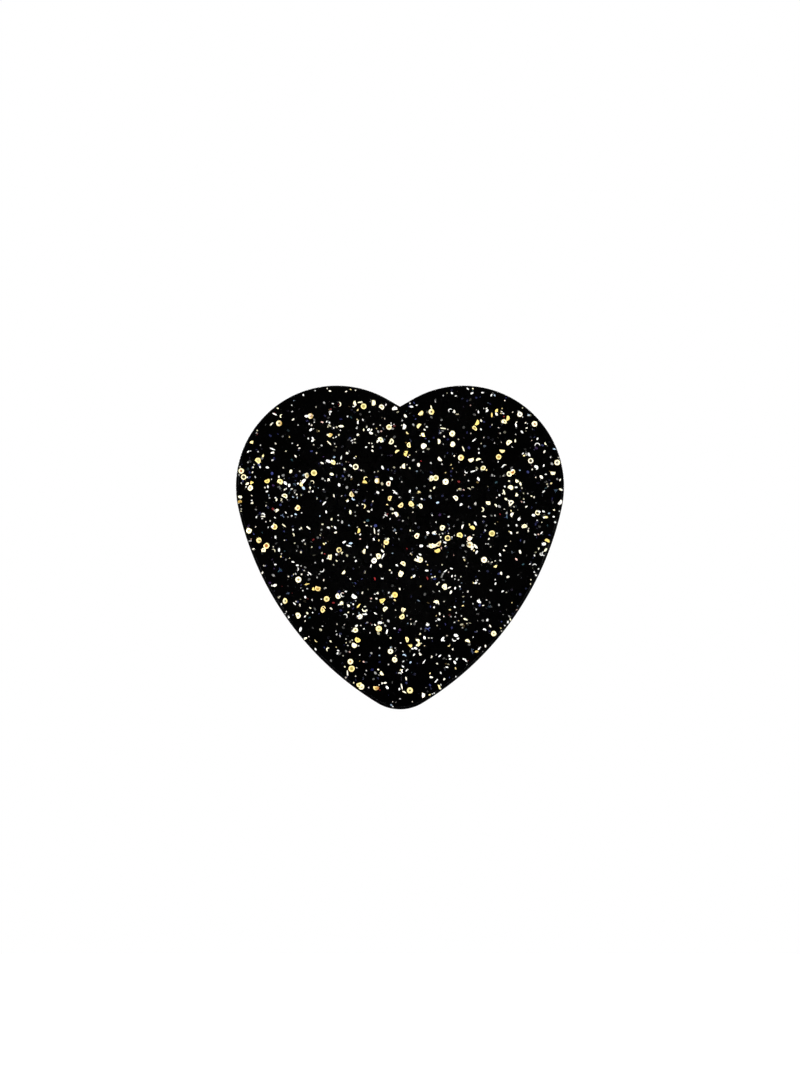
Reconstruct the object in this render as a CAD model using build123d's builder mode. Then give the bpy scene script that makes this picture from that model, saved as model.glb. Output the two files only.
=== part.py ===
from build123d import *

import os

# A heart-shaped glitter lapel pin, held on by two posts and two butterfly clutches.
#
# Frame, in millimetres: X runs across the heart and Z up it. The heart's face looks along -Y
# and the posts point along +Y. The origin lies on the plate's flat back, in the middle of the
# heart's width and height.

# ---- heart outline: half of it, from the notch at the top, clockwise to the tip ----
NOTCH_Z = 13.75
NOTCH_SLOPE = 30.0
NOTCH_STRAIGHT = 1.45
LOBE_RADIUS = 9.83
LOBE_SWEEP = 132.2
FLANK_RADIUS = 29.6
FLANK_SWEEP = 46.6
TIP_SWEEP = 180 + NOTCH_SLOPE - LOBE_SWEEP - FLANK_SWEEP

# ---- die-cast plate and what is poured into it, measured from the back towards the face ----
PLATE_THICKNESS = 1.6
TRAY_FLOOR = 1.0
ENAMEL_TOP = 1.4
RIM_WIDTH = 0.28
PLATE_EDGE_RADIUS = 0.2
DOME_HEIGHT = 0.75
DOME_SPHERE_RADIUS = 400.0
DOME_EDGE_RADIUS = 0.3

# ---- posts, resistance-soldered into shallow wells in the back ----
POST_X = 7.5
POST_Z = 2.0
SHAFT_RADIUS = 0.5
FLANGE_RADIUS = 2.0
FLANGE_PROUD = 0.1
FLANGE_FILLET = 0.35
WELL_RADIUS = 2.3
WELL_DEPTH = 0.3
GROOVE_DEPTH = 0.16
GROOVE_WIDTH = 0.7
GROOVE_STARTS = (3.0, 6.7)
TIP_START = 7.7
TIP_END = 9.0
TIP_RADIUS = 0.12
TIP_FILLET = 0.1
SOLDER_EDGE_DEPTH = 0.06
SOLDER_RISE = 0.05

# ---- butterfly clutch: heights are from the front of its cap, away from the heart ----
FABRIC_GAP = 2.3
SHEET = 0.3
CAP_RADIUS = 5.6
CAP_HEIGHT = 1.75
CAP_LIP_RADIUS = 4.9
CAP_BEND_RADIUS = 0.3
CAP_HOLE_RADIUS = 0.9
FUNNEL_RADIUS = 1.8
FUNNEL_DEPTH = 0.12
DIMPLE_COUNT = 4
DIMPLE_CIRCLE = 3.6
DIMPLE_RADIUS = 1.0
DIMPLE_PROUD = 0.25
CUP_SHEET = 0.25
CUP_RADIUS = 5.25
WINDOW_WIDTH = 3.8
PIVOT_U = 1.675
PIVOT_H = 1.325
PIVOT_GAP = 0.02
JAW_HEIGHT = 0.975
JAW_REACH = 0.25
JAW_NOTCH_RADIUS = SHAFT_RADIUS + 0.03
NECK_WIDTH = 3.2
NECK_TOP = 2.1
SHOULDER_START = 0.4
SHOULDER_END = 1.8
SHOULDER_BENDS = (0.6, 1.2)
WING_WIDTH = 5.2
WING_CORNER_RADIUS = 1.9
WING_KNEE = (3.6, 4.75)
WING_END = (6.2, 5.45)
WING_BENDS = (SHEET, 0.6, 2.2)
SPRING_WIRE = 0.25
SPRING_GAP = 0.01
SPRING_BEND_RADIUS = 0.4
SPRING_REACH = 2.1
SPRING_OPENING = 1.2

SIDES = {"left": -POST_X, "right": POST_X}


def heart_outline():
    """The closed outline of the heart, from its notch round both lobes to its rounded tip."""
    with BuildLine() as outline:
        shoulder = PolarLine((0, NOTCH_Z), NOTCH_STRAIGHT, NOTCH_SLOPE)
        lobe = JernArc(shoulder @ 1, shoulder % 1, LOBE_RADIUS, -LOBE_SWEEP)
        flank = JernArc(lobe @ 1, lobe % 1, FLANK_RADIUS, -FLANK_SWEEP)
        # the tip's centre lies on the middle line, so that both halves meet there smoothly
        direction = flank % 1
        tip_radius = (flank @ 1).X / -direction.Y
        JernArc(flank @ 1, direction, tip_radius, -TIP_SWEEP)
        mirror(about=Plane.YZ)
    return outline


def heart_slab(back, front, inset=0.0):
    """A slab of the heart, from one depth behind its face plane to another, inside its outline."""
    with BuildPart() as slab:
        with BuildSketch(Plane.XZ.offset(back)) as face:
            add(heart_outline().line)
            make_face()
            if inset:
                offset(amount=-inset, kind=Kind.INTERSECTION)
        extrude(amount=front - back)
    return slab


def section_plane(x):
    """The plane through a post's axis on which turned pieces are drawn: X is radius, Y is depth."""
    return Plane(origin=(x, 0, POST_Z), x_dir=(1, 0, 0), z_dir=(0, 0, 1))


def post_axis(x):
    return Axis((x, 0, POST_Z), (0, 1, 0))


def back_plane(x, y, side=1):
    """A plane facing away from the heart, at one depth: its X runs up the heart, or down at -1."""
    return Plane(origin=(x, y, POST_Z), x_dir=(0, 0, side), z_dir=(0, 1, 0))


def bent_strip(points, radius, thickness):
    """The edge-on shape of a bent strip of sheet, whose middle line runs through the points."""
    with BuildLine() as middle:
        FilletPolyline(*points, radius=radius)
    with BuildSketch() as strip:
        with BuildLine():
            add(middle.line)
            offset(amount=thickness / 2, side=Side.BOTH)
        make_face()
    return strip.sketch


def make_base_plate():
    with BuildPart() as plate:
        add(heart_slab(0, PLATE_THICKNESS).part)
        back_edges = plate.faces().sort_by(Axis.Y)[-1].edges()
        fillet(back_edges, PLATE_EDGE_RADIUS)
        add(heart_slab(TRAY_FLOOR, PLATE_THICKNESS, RIM_WIDTH).part, mode=Mode.SUBTRACT)
        with BuildSketch(Plane.XZ):
            with Locations(*[(x, POST_Z) for x in SIDES.values()]):
                Circle(WELL_RADIUS)
        extrude(amount=WELL_DEPTH, mode=Mode.SUBTRACT)
    return plate


def make_epoxy_dome():
    """A clear lens that wets the rim right to its edge and is a little thicker in the middle."""
    with BuildPart() as dome:
        add(heart_slab(PLATE_THICKNESS, PLATE_THICKNESS + DOME_HEIGHT).part)
        crown = PLATE_THICKNESS + DOME_HEIGHT
        with Locations((0, DOME_SPHERE_RADIUS - crown, 0)):
            Sphere(DOME_SPHERE_RADIUS, mode=Mode.INTERSECT)
        fillet(dome.faces().sort_by(Axis.Y)[0].edges(), DOME_EDGE_RADIUS)
    return dome


def make_post(x):
    """A nail with a flat head, two ring grooves and a sharp end."""
    profile = [(0, -WELL_DEPTH), (FLANGE_RADIUS, -WELL_DEPTH), (FLANGE_RADIUS, FLANGE_PROUD)]
    profile.append((SHAFT_RADIUS, FLANGE_PROUD))
    for start in GROOVE_STARTS:
        end = start + GROOVE_WIDTH
        floor = SHAFT_RADIUS - GROOVE_DEPTH
        profile.append((SHAFT_RADIUS, start))
        profile.append((floor, start + GROOVE_DEPTH))
        profile.append((floor, end - GROOVE_DEPTH))
        profile.append((SHAFT_RADIUS, end))
    profile += [(SHAFT_RADIUS, TIP_START), (TIP_RADIUS, TIP_END), (0, TIP_END)]
    with BuildPart() as post:
        with BuildSketch(section_plane(x)):
            with BuildLine():
                Polyline(*profile, close=True)
            make_face()
        revolve(axis=post_axis(x))
        root = post.edges().filter_by(lambda e: is_ring(e, SHAFT_RADIUS, FLANGE_PROUD))
        fillet(root, FLANGE_FILLET)
        point = post.edges().filter_by(lambda e: is_ring(e, TIP_RADIUS, TIP_END))
        fillet(point, TIP_FILLET)
    return post


def is_ring(edge, radius, depth):
    """Whether an edge is a circle of this radius at this depth."""
    if edge.geom_type != GeomType.CIRCLE:
        return False
    return abs(edge.radius - radius) < 1e-4 and abs(edge.arc_center.Y - depth) < 1e-4


def make_solder(x):
    """The ring of solder between a post's head and the wall of its well."""
    with BuildPart() as solder:
        with BuildSketch(section_plane(x)):
            with BuildLine():
                Polyline(
                    (FLANGE_RADIUS, -WELL_DEPTH),
                    (WELL_RADIUS, -WELL_DEPTH),
                    (WELL_RADIUS, -SOLDER_EDGE_DEPTH),
                    (FLANGE_RADIUS, SOLDER_RISE),
                    close=True,
                )
            make_face()
        revolve(axis=post_axis(x))
    return solder


def make_cap(x):
    """The clutch's outer cap: a dished disc with a rolled edge, four dimples and a funnelled hole."""
    middle = SHEET / 2
    wall = CAP_RADIUS - middle
    points = [
        (CAP_HOLE_RADIUS, middle + FUNNEL_DEPTH),
        (FUNNEL_RADIUS, middle),
        (wall, middle),
        (wall, CAP_HEIGHT - middle),
        (CAP_LIP_RADIUS + middle, CAP_HEIGHT - middle),
    ]
    sphere_height = DIMPLE_RADIUS - DIMPLE_PROUD
    with BuildPart() as cap:
        with BuildSketch(section_plane(x)):
            with Locations((0, FABRIC_GAP)):
                add(bent_strip(points, CAP_BEND_RADIUS, SHEET))
        revolve(axis=post_axis(x))
        with Locations(back_plane(x, FABRIC_GAP + sphere_height)):
            with PolarLocations(DIMPLE_CIRCLE, DIMPLE_COUNT, start_angle=45):
                Sphere(DIMPLE_RADIUS)
                Sphere(DIMPLE_RADIUS - SHEET, mode=Mode.SUBTRACT)
        with BuildSketch(back_plane(x, FABRIC_GAP + SHEET)):
            Circle(DIMPLE_CIRCLE + DIMPLE_RADIUS)
            Circle(DIMPLE_CIRCLE - DIMPLE_RADIUS, mode=Mode.SUBTRACT)
        extrude(amount=2 * DIMPLE_RADIUS, mode=Mode.SUBTRACT)
    return cap


def make_inner_cup(x):
    """The upside-down cup inside the cap: the wings turn on the rounded edges of its window."""
    middle = CUP_RADIUS - CUP_SHEET / 2
    points = [(PIVOT_U / 2, PIVOT_H), (middle, PIVOT_H), (middle, SHEET + CUP_SHEET / 2)]
    with BuildPart() as cup:
        with BuildSketch(section_plane(x)):
            with Locations((0, FABRIC_GAP)):
                add(bent_strip(points, CAP_BEND_RADIUS, CUP_SHEET))
        revolve(axis=post_axis(x))
        with BuildSketch(back_plane(x, FABRIC_GAP + PIVOT_H - CUP_SHEET)):
            Rectangle(2 * PIVOT_U, WINDOW_WIDTH)
        extrude(amount=2 * CUP_SHEET, mode=Mode.SUBTRACT)
        for side in (1, -1):
            edge = Plane(
                origin=(x - WINDOW_WIDTH / 2, FABRIC_GAP + PIVOT_H, POST_Z + side * PIVOT_U),
                x_dir=(0, 1, 0),
                z_dir=(1, 0, 0),
            )
            with BuildSketch(edge):
                Circle(CUP_SHEET / 2)
            extrude(amount=WINDOW_WIDTH)
    return cup


def make_wing(x, side):
    """One stamped lever: a notched jaw, a neck through the window and a flared, curled wing.

    side is 1 for the upper wing and -1 for the lower one.
    """
    neck = PIVOT_U - CUP_SHEET / 2 - PIVOT_GAP - SHEET / 2
    points = [(JAW_REACH, JAW_HEIGHT), (neck, JAW_HEIGHT), (neck, NECK_TOP), WING_KNEE, WING_END]
    edge_on = Plane(origin=(x, FABRIC_GAP, POST_Z), x_dir=(0, 0, side), z_dir=(-side, 0, 0))
    half_neck = NECK_WIDTH / 2
    half_wing = WING_WIDTH / 2
    reach = WING_END[0]
    with BuildPart() as wing:
        with BuildSketch(edge_on):
            add(bent_strip(points, WING_BENDS, SHEET))
        extrude(amount=half_wing, both=True)
        with BuildSketch(back_plane(x, FABRIC_GAP, side)):
            with BuildLine():
                FilletPolyline(
                    (0, half_neck),
                    (neck + SHOULDER_START, half_neck),
                    (neck + SHOULDER_END, half_wing),
                    (reach, half_wing),
                    (reach, 0),
                    radius=(*SHOULDER_BENDS, WING_CORNER_RADIUS),
                )
                mirror(about=Plane.XZ)
                Line((0, half_neck), (0, -half_neck))
            make_face()
        extrude(amount=2 * WING_END[1], mode=Mode.INTERSECT)
        with BuildSketch(back_plane(x, FABRIC_GAP)):
            Circle(JAW_NOTCH_RADIUS)
        extrude(amount=NECK_TOP, mode=Mode.SUBTRACT)
    return wing


def make_jaw_spring(x):
    """A squared C of spring wire round both jaws, which pushes them against the post."""
    reach = PIVOT_U - CUP_SHEET / 2 - PIVOT_GAP + SPRING_WIRE / 2 + SPRING_GAP
    end = SPRING_OPENING / 2
    with BuildPart() as spring:
        with BuildLine(back_plane(x, FABRIC_GAP + JAW_HEIGHT)) as route:
            FilletPolyline(
                (end, SPRING_REACH),
                (reach, SPRING_REACH),
                (reach, -SPRING_REACH),
                (-reach, -SPRING_REACH),
                (-reach, SPRING_REACH),
                (-end, SPRING_REACH),
                radius=SPRING_BEND_RADIUS,
            )
        with BuildSketch(Plane(origin=route.line @ 0, z_dir=route.line % 0)):
            Circle(SPRING_WIRE / 2)
        sweep()
    return spring


def pieces():
    """Every separate piece of the pin, by name."""
    made = {
        "base_plate": make_base_plate(),
        "enamel_fill": heart_slab(TRAY_FLOOR, ENAMEL_TOP, RIM_WIDTH),
        "glitter_layer": heart_slab(ENAMEL_TOP, PLATE_THICKNESS, RIM_WIDTH),
        "epoxy_dome": make_epoxy_dome(),
    }
    for name, x in SIDES.items():
        made[name + "_post"] = make_post(x)
        made[name + "_solder_ring"] = make_solder(x)
        made[name + "_clutch_cap"] = make_cap(x)
        made[name + "_clutch_inner_cup"] = make_inner_cup(x)
        made[name + "_clutch_jaw_spring"] = make_jaw_spring(x)
        made[name + "_clutch_upper_wing"] = make_wing(x, 1)
        made[name + "_clutch_lower_wing"] = make_wing(x, -1)
    return made


os.makedirs("parts", exist_ok=True)
for node, piece in pieces().items():
    piece.part.label = node
    export_step(piece.part, f"parts/{node}.step")
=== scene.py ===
import math
import random

import bmesh
import bpy
import numpy as np
from mathutils import Matrix, Vector
from mathutils.geometry import tessellate_polygon


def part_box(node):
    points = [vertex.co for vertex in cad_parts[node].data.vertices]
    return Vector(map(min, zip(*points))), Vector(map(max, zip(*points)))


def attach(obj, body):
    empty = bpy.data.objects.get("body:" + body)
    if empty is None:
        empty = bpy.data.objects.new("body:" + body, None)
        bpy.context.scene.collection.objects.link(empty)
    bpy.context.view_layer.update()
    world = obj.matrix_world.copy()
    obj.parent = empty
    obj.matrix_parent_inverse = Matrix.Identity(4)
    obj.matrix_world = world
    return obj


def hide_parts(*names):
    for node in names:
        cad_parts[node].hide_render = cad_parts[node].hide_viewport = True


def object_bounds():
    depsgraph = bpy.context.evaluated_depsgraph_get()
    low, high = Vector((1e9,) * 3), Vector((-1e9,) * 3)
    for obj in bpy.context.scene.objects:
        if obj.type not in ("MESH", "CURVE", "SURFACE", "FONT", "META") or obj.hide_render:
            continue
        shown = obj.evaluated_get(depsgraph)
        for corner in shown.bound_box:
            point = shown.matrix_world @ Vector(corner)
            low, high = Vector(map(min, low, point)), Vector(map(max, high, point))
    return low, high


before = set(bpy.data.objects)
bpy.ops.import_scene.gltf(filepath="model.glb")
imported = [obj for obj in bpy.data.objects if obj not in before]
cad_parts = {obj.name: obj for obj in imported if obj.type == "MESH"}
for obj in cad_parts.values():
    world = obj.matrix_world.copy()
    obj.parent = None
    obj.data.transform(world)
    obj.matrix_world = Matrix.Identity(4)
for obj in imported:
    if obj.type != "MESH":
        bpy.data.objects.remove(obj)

CAD_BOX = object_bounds()
MM = 0.001
SMALL = 1e-6

# ---- the picture: the heart, seen straight from the front, fills this share of its width, and
# ---- the picture's middle lies this share of the heart's width above the heart's middle ----
HEART_SHARE = 0.41
FRAME_RATIO = 1.36
FRAME_ABOVE = 0.0107
LENS = 110

# ---- the floor, in mm ----
FLOOR_HALF = 160
FLOOR_DROP = 44
FLOOR_CORNERS = ((-1, -1), (1, -1), (1, 1), (-1, 1))

# ---- heart outline, in millimetres and degrees: the same arcs as the CAD plate ----
NOTCH_Z = 13.75
NOTCH_SLOPE = 30.0
NOTCH_FILLET = 0.04
NOTCH_STRAIGHT = 1.45
LOBE_RADIUS = 9.83
LOBE_SWEEP = 132.2
FLANK_RADIUS = 29.6
FLANK_SWEEP = 46.6
EDGE_SPACING = 0.22
FINE_SPACING = 0.05

# ---- depths from the plate's back towards the face, read from the frame ----
PLATE_FRONT = -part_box("base_plate")[0].y / MM
TRAY_FRONT = -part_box("enamel_fill")[1].y / MM
DOME_FRONT = -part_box("epoxy_dome")[0].y / MM
RIM_WIDTH = (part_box("base_plate")[1].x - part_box("enamel_fill")[1].x) / MM
WELL_DEPTH = -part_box("left_post")[0].y / MM
BACK_RADIUS = 0.2
BACK_STEPS = 6
EDGE_BREAK = 0.03
WELL_AROUND = 64

# ---- the domed epoxy's section, in from its edge ----
DOME_WALL = 0.07
DOME_CORNER = 0.04
DOME_FALL_LENGTH = 2.4
DOME_SPARE = 0.02
DOME_RISE = DOME_FRONT - PLATE_FRONT - DOME_WALL - DOME_CORNER - DOME_SPARE
DOME_CORNER_STEPS = 4
DOME_SMOOTHING_STEPS = 90

# ---- the dome's rings: first and last inset, or share of the innermost inset ring, and number ----
DOME_EDGE_INSETS = (0.12, 1.0, 8)
DOME_INNER_INSETS = (1.25, 3.6, 11)
DOME_MIDDLE_SHARES = (0.96, 0.04, 24)

# ---- glitter: numbers of flakes, and sizes in mm; CURL_STEP in radians ----
SEED = 20
HEX_FLAKES = 100
HEX_FLAKES_AT_EDGE = 3
HEX_FLAKE_RADIUS = 0.288
BROKEN_FLAKES = 52
BROKEN_FLAKES_AT_EDGE = 4
RODS = 40
CURLS = 50
CURL_GROUPS = 12
CURL_STEP = 0.35
SUNKEN_FLAKES = 400
FINE_PER_EDGE_ONE = 26
CLUMP_COUNT = 46
CLUMP_SPREAD = 1.0
FLAKE_THICKNESS = 0.02
FLAKE_LIFT = 0.02
STEEPEST_FLAKE_DEGREES = 24

# ---- posts and their solder ----
POST_AROUND = 56
POST_SPACING = 0.3
SHAFT = 0.5
HEAD_PROUD = 0.1
HEAD_EDGE = 0.05
HEAD_FILLET = 0.35
GROOVE_EDGE = 0.06
GROOVE_DEPTH = 0.16
GROOVE_WIDTH = 0.7
GROOVE_STARTS = (3.0, 6.7)
POINT_LENGTH = 1.3
POINT_RADIUS = 0.12
POINT_BEND = 0.5
POINT_FLAT = 0.02
SOLDER_AROUND = 96
SOLDER_STEPS = 10
SOLDER_EDGE = 0.06
SOLDER_SAG = 0.03
SOLDER_LUMP = 0.006

# ---- butterfly clutches: radius from the post's axis and height from the cap's front, in mm ----
CLUTCH_SIDES = ("left", "right")
SHEET = 0.3
CAP_AROUND = 176
CAP_SPACING = 0.11
CAP_DIMPLE = 0.25
DIMPLE_CIRCLE = 3.6
DIMPLE_REACH = 0.85
CAP_HOLE = 0.9
CAP_LIP = 4.9
FUNNEL_RADIUS = 1.8
FUNNEL_DEPTH = 0.12
FUNNEL_BEND = 0.6
JAW_REACH = 0.25
JAW_HEIGHT = 0.975
JAW_NOTCH = 0.53
NOTCH_SLANT = 0.012
NECK = 1.38
HALF_NECK = 1.6
HALF_WING = 2.6
WING_CORNER = 1.9
WING_COLUMNS = 13
WING_EDGE_STEPS = 4
WING_SPACING = 0.16
WING_END = (0.25, 0.8)
FLARE_START = 0.4
FLARE_LENGTH = 1.4
WING_PATH = ((JAW_REACH, JAW_HEIGHT), (NECK, JAW_HEIGHT), (NECK, 2.1), (3.6, 4.75), (6.2, 5.45))
WING_BENDS = (SHEET, 0.6, 2.2)
BEAD_AROUND = 112
BEAD_STEPS = 12
BEAD_RADIUS = 4.05
BEAD_WIDTH = 0.5
BEAD_HEIGHT = 0.11
BEAD_SUNK = 0.02
RIB_HEIGHT = 0.17
RIB_WIDTH = 0.42
RIB_START = 2.7
RIB_RISE = 1.2
RIB_FALL = 0.9


# ------------------------------------------------------------------ outline

def heart_edge(spacing):
    """Points round the outline, clockwise from the notch, and their inward normals, in mm."""
    slope = math.radians(NOTCH_SLOPE)
    x, heading = 0.0, 0.0
    z = NOTCH_Z + NOTCH_FILLET * (1 / math.cos(slope) - 1)
    straight = NOTCH_STRAIGHT - NOTCH_FILLET * math.tan(slope)
    tip_sweep = 180 + NOTCH_SLOPE - LOBE_SWEEP - FLANK_SWEEP
    walk = [("left", NOTCH_FILLET, NOTCH_SLOPE), ("on", straight, 0.0)]
    walk += [("right", LOBE_RADIUS, LOBE_SWEEP), ("right", FLANK_RADIUS, FLANK_SWEEP)]
    walk.append(("right", None, tip_sweep))
    points = [(x, z, heading)]
    for way, size, sweep in walk:
        turn = math.radians(sweep)
        if size is None:
            size = x / math.sin(turn)
        length = size if way == "on" else size * turn
        steps = max(4, round(length / spacing))
        side = {"left": 1, "on": 0, "right": -1}[way]
        step = length / steps
        bend = side * turn / steps
        for _ in range(steps):
            chord = step if bend == 0 else 2 * size * math.sin(abs(bend) / 2)
            x += chord * math.cos(heading + bend / 2)
            z += chord * math.sin(heading + bend / 2)
            heading += bend
            points.append((x, z, heading))
    half = [(px, pz, math.sin(h), -math.cos(h)) for px, pz, h in points]
    other = [(-px, pz, -nx, nz) for px, pz, nx, nz in reversed(half[1:-1])]
    outline = np.array(half + other)
    outline[0, 0] = 0.0
    outline[len(half) - 1, 0] = 0.0
    return outline[:, :2], outline[:, 2:]


EDGE, INWARD = heart_edge(EDGE_SPACING)
FINE_EDGE = heart_edge(FINE_SPACING)[0]


def depth_inside(points):
    """How far inside the outline each point lies, in mm; negative outside."""
    points = np.atleast_2d(points)
    gaps = np.empty(len(points))
    block = 400
    for start in range(0, len(points), block):
        some = points[start:start + block]
        away = np.linalg.norm(some[:, None, :] - FINE_EDGE[None, :, :], axis=2)
        gaps[start:start + block] = away.min(axis=1)
    ahead = np.roll(FINE_EDGE, -1, axis=0)
    inside = np.zeros(len(points), bool)
    for (x0, z0), (x1, z1) in zip(FINE_EDGE, ahead):
        if z0 == z1:
            continue
        crosses = (z0 > points[:, 1]) != (z1 > points[:, 1])
        inside ^= crosses & (points[:, 0] < (x1 - x0) * (points[:, 1] - z0) / (z1 - z0) + x0)
    return np.where(inside, gaps, -gaps)


# ------------------------------------------------------------------ mesh helpers

def srgb(*levels):
    """A colour given as three sRGB levels from 0 to 255, as linear numbers and a full alpha."""
    shares = [level / 255 for level in levels]
    linear = [s / 12.92 if s <= 0.04045 else ((s + 0.055) / 1.055) ** 2.4 for s in shares]
    return (*linear, 1.0)


def smooth_step(value):
    """A smooth rise from 0 to 1 as value goes from 0 to 1, flat outside that."""
    value = min(max(value, 0), 1)
    return value * value * (3 - 2 * value)


def make_object(name, vertices, faces, material, smooth=True, closed=True):
    """A mesh object from vertices in millimetres, its faces turned outward where it is closed."""
    mesh = bpy.data.meshes.new(name)
    mesh.from_pydata([tuple(c * MM for c in v) for v in vertices], [], faces)
    if closed:
        shell = bmesh.new()
        shell.from_mesh(mesh)
        bmesh.ops.recalc_face_normals(shell, faces=shell.faces)
        shell.to_mesh(mesh)
        shell.free()
    mesh.update()
    mesh.materials.append(material)
    for polygon in mesh.polygons:
        polygon.use_smooth = smooth
    obj = bpy.data.objects.new(name, mesh)
    bpy.context.scene.collection.objects.link(obj)
    return obj


def ring_faces(rings, count, first=0):
    """Quads between closed rings of equally many vertices that follow each other."""
    faces = []
    for r in range(rings - 1):
        low = first + r * count
        high = low + count
        for i in range(count):
            j = (i + 1) % count
            faces.append((low + i, high + i, high + j, low + j))
    return faces


def fan_faces(ring_start, count, hub):
    """Triangles from a closed ring to one middle vertex."""
    return [(ring_start + i, ring_start + (i + 1) % count, hub) for i in range(count)]


def circle(axis, radius, depth, around):
    """A ring of vertices round a post's axis, at a depth behind the plate's back."""
    ring = []
    for k in range(around):
        turn = 2 * math.pi * k / around
        ring.append((axis[0] + radius * math.cos(turn), depth, axis[1] + radius * math.sin(turn)))
    return ring


def turned_ring(loop, axis, around):
    """Vertices and faces of a closed section of (radius, depth) pairs turned round an axis."""
    vertices = [vertex for radius, depth in loop for vertex in circle(axis, radius, depth, around)]
    faces = ring_faces(len(loop), around)
    last = (len(loop) - 1) * around
    for k in range(around):
        n = (k + 1) % around
        faces.append((last + k, k, n, last + n))
    return vertices, faces


def strip_section(path, normals, thickness):
    """The closed outline of a bent strip of sheet, with rounded ends, about its middle line."""
    half = thickness / 2
    sides = [[p + sign * half * n for p, n in zip(path, normals)] for sign in (1, -1)]
    ends = []
    for index, sign in ((-1, 1), (0, -1)):
        normal = normals[index]
        along = np.array((normal[1], -normal[0]))
        turns = [math.radians(angle) for angle in (45, 90, 135)]
        arms = [math.cos(turn) * normal + math.sin(turn) * along for turn in turns]
        ends.append([path[index] + sign * half * arm for arm in arms])
    return sides[0] + ends[0] + sides[1][::-1] + ends[1]


def middle_of(node):
    """A turned node's axis, as (x, z) in mm."""
    low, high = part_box(node)
    return (low.x + high.x) / 2 / MM, (low.z + high.z) / 2 / MM


def half_size(node, way):
    """Half a node's size along x or z, in mm."""
    low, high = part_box(node)
    return (getattr(high, way) - getattr(low, way)) / 2 / MM


def filleted_path(points, radii, spacing):
    """Points and normals along a line through the corners, each rounded to its radius."""
    corners = [np.array(p, float) for p in points]
    path = [corners[0]]
    for before, corner, after, radius in zip(corners, corners[1:], corners[2:], radii):
        d0 = (corner - before) / np.linalg.norm(corner - before)
        d1 = (after - corner) / np.linalg.norm(after - corner)
        bend = math.atan2(d0[0] * d1[1] - d0[1] * d1[0], d0 @ d1)
        start = corner - d0 * radius * math.tan(abs(bend) / 2)
        aside = np.array((-d0[1], d0[0])) * math.copysign(1, bend)
        centre = start + aside * radius
        steps = max(5, round(abs(bend) * radius / spacing))
        for i in range(steps + 1):
            angle = bend * i / steps
            arm = start - centre
            cosine, sine = math.cos(angle), math.sin(angle)
            spun = (arm[0] * cosine - arm[1] * sine, arm[0] * sine + arm[1] * cosine)
            path.append(centre + spun)
    path.append(corners[-1])
    fine = [path[0]]
    for a, b in zip(path, path[1:]):
        pieces = max(1, round(np.linalg.norm(b - a) / spacing))
        fine += [a + (b - a) * i / pieces for i in range(1, pieces + 1)]
    fine = np.array(fine)
    along = np.gradient(fine, axis=0)
    along /= np.linalg.norm(along, axis=1)[:, None]
    return fine, np.column_stack([-along[:, 1], along[:, 0]])


# ------------------------------------------------------------------ node helpers

class Nodes:
    """The node tree of a material or a world, written as short calls."""

    def __init__(self, owner, output="OutputMaterial"):
        owner.use_nodes = True
        self.owner = owner
        self.tree = owner.node_tree
        self.tree.nodes.clear()
        self.output = self.add(output)

    def add(self, kind, inputs=None, **settings):
        node = self.tree.nodes.new("ShaderNode" + kind)
        for key, value in settings.items():
            setattr(node, key, value)
        for key, value in (inputs or {}).items():
            self.feed(node.inputs[key], value)
        return node

    def feed(self, socket, value):
        if isinstance(value, bpy.types.NodeSocket):
            self.tree.links.new(value, socket)
        else:
            socket.default_value = value

    def surface(self, shader):
        """Makes a shader the result, and gives back the material or world."""
        self.tree.links.new(shader.outputs[0], self.output.inputs["Surface"])
        return self.owner

    def principled(self, colour, roughness, **more):
        """A surface of one principled shader; more holds its other inputs, _ for each space."""
        inputs = {"Base Color": colour, "Roughness": roughness}
        for name, value in more.items():
            inputs[name.replace("_", " ")] = value
        return self.surface(self.add("BsdfPrincipled", inputs))

    def mix_shaders(self, factor, a, b):
        node = self.add("MixShader")
        self.feed(node.inputs[0], factor)
        self.feed(node.inputs[1], a.outputs[0])
        self.feed(node.inputs[2], b.outputs[0])
        return node

    def place(self):
        """Object coordinates, in metres."""
        return self.add("TexCoord").outputs["Object"]

    def noise(self, per_mm, detail, vector=None):
        inputs = {"Vector": vector or self.place(), "Scale": per_mm / MM}
        inputs |= {"Detail": detail, "Roughness": 0.55}
        return self.add("TexNoise", inputs).outputs["Fac"]

    def stretch(self, x, y, z):
        """Object coordinates scaled per axis, for marks drawn along one way."""
        node = self.add("Mapping", {"Vector": self.place(), "Scale": (x, y, z)})
        return node.outputs["Vector"]

    def ramp(self, value, low, high, start, end):
        """Maps value from the range start..end onto low..high, clamped."""
        inputs = {"Value": value, "From Min": start, "From Max": end}
        inputs |= {"To Min": low, "To Max": high}
        return self.add("MapRange", inputs).outputs["Result"]

    def spread(self, noise, low, high):
        """Maps the range that most of a noise lies in onto low..high."""
        return self.ramp(noise, low, high, 0.3, 0.7)

    def mix_colour(self, factor, a, b):
        """A Mix node's colours are its inputs 6 and 7, and their mixture is its output 2."""
        node = self.add("Mix", data_type="RGBA")
        self.feed(node.inputs["Factor"], factor)
        self.feed(node.inputs[6], a)
        self.feed(node.inputs[7], b)
        return node.outputs[2]

    def math(self, operation, a, b=0.0):
        node = self.add("Math", operation=operation)
        self.feed(node.inputs[0], a)
        self.feed(node.inputs[1], b)
        return node.outputs[0]

    def bump(self, height, strength, depth_mm, normal=None):
        inputs = {"Height": height, "Strength": strength, "Distance": depth_mm * MM}
        if normal is not None:
            inputs["Normal"] = normal
        return self.add("Bump", inputs).outputs["Normal"]


# ------------------------------------------------------------------ materials

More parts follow.
